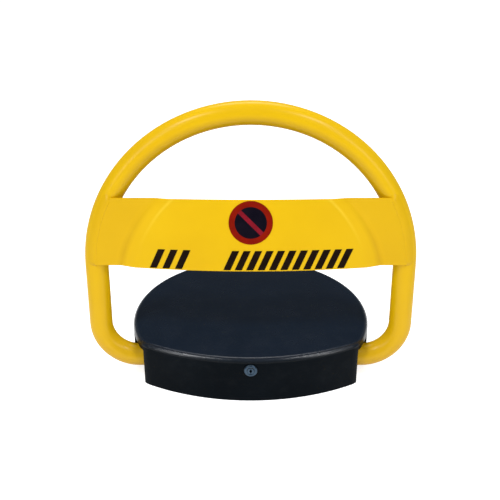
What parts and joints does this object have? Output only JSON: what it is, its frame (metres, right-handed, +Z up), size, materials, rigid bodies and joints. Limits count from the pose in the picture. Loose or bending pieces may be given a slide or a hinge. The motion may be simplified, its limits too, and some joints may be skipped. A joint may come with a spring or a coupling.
{
  "type": "folding parking lock",
  "caption": "Ground-mounted parking lock: a motor-driven hoop arm with a raised sign panel that folds flat over a low round housing with a keyed cover.",
  "frame": {"origin": "centre of the anchor hole pattern, on the ground under the base plate", "axes": "+X along the arm's pivot line, +Y to the rear, the way the arm folds down, +Z up"},
  "size_m": [0.46, 0.301, 0.4061],
  "materials": {
    "yellow_paint": "gloss enamel",
    "sign_red": "satin film",
    "sign_crimson": "satin film",
    "sign_black": "satin film",
    "marking_black": "satin film",
    "black_plastic": "fine moulded grain",
    "rubber": "matt",
    "plated_steel": "zinc plated",
    "gear_steel": "machined",
    "cast_grey": "as cast",
    "bronze": "machined",
    "lock_chrome": "polished",
    "cell_wrap": "shrink wrap",
    "board_green": "solder mask",
    "terminal_green": "moulded",
    "lead_sheath": "smooth sheath"
  },
  "bodies": {
    "base": {"base_plate": "plated_steel", "battery_cells": "cell_wrap", "battery_lead": "lead_sheath", "battery_strap": "plated_steel", "battery_tray": "black_plastic", "bearing_block_left": "cast_grey", "bearing_block_right": "cast_grey", "bearing_bolts": "plated_steel", "bearing_bush_left": "bronze", "bearing_bush_right": "bronze", "board_screws": "plated_steel", "board_standoffs": "plated_steel", "buzzer": "black_plastic", "circuit_board": "board_green", "counter_bushes": "bronze", "cover_shell": "black_plastic", "gearbox_bolts": "plated_steel", "gearbox_bushes": "bronze", "gearbox_case": "cast_grey", "gearbox_lid": "cast_grey", "hall_sensors": "black_plastic", "lid_screws": "plated_steel", "lock_body": "lock_chrome", "lock_keeper": "plated_steel", "lock_nut": "plated_steel", "m5_screws": "plated_steel", "motor_can": "plated_steel", "motor_end_cap": "black_plastic", "motor_lead": "lead_sheath", "motor_magnets": "plated_steel", "motor_screws": "plated_steel", "receiver_module": "board_green", "relays": "black_plastic", "rim_seal": "rubber", "sensor_bracket": "plated_steel", "sensor_lead": "lead_sheath", "side_grommet_left": "rubber", "side_grommet_right": "rubber", "side_hooks": "plated_steel", "terminal_block": "terminal_green", "worm_bushes": "bronze"},
    "arm": {"hoop_tube": "yellow_paint", "arm_panel": "yellow_paint", "arm_hubs": "plated_steel", "main_shaft": "plated_steel", "clamp_bolts": "plated_steel", "sign_ring": "sign_red", "sign_slash": "sign_crimson", "sign_disc": "sign_black", "marking_bars": "marking_black", "drive_gear": "gear_steel", "drive_key": "plated_steel", "magnet_collar": "plated_steel", "limit_magnet": "plated_steel"},
    "counter": {"counter_shaft": "plated_steel", "worm_wheel": "bronze"},
    "worm": {"worm_shaft": "plated_steel", "motor_rotor": "plated_steel"},
    "key": {"lock_core": "lock_chrome", "lock_cam": "plated_steel"}
  },
  "joints": [
    {"name": "arm_fold", "type": "hinge", "parent": "base", "child": "arm", "pos_m": [0, -0.055, 0.032], "axis": [-1, 0, 0], "range_deg": [0, 81]},
    {"name": "counter_spin", "type": "hinge", "parent": "base", "child": "counter", "pos_m": [0, -0.02014, 0.041], "axis": [1, 0, 0], "range_deg": [0, 162.5]},
    {"name": "worm_spin", "type": "hinge", "parent": "base", "child": "worm", "pos_m": [0.019, -0.02014, 0.01925], "axis": [0, -1, 0], "range_deg": [0, 4225]},
    {"name": "key_turn", "type": "hinge", "parent": "base", "child": "key", "pos_m": [0, -0.12, 0.052], "axis": [0, 1, 0], "range_deg": [0, 90]}
  ],
  "couplings": [
    {"joint": "counter_spin", "follows": "arm_fold", "ratio": 2},
    {"joint": "worm_spin", "follows": "arm_fold", "ratio": 52}
  ]
}
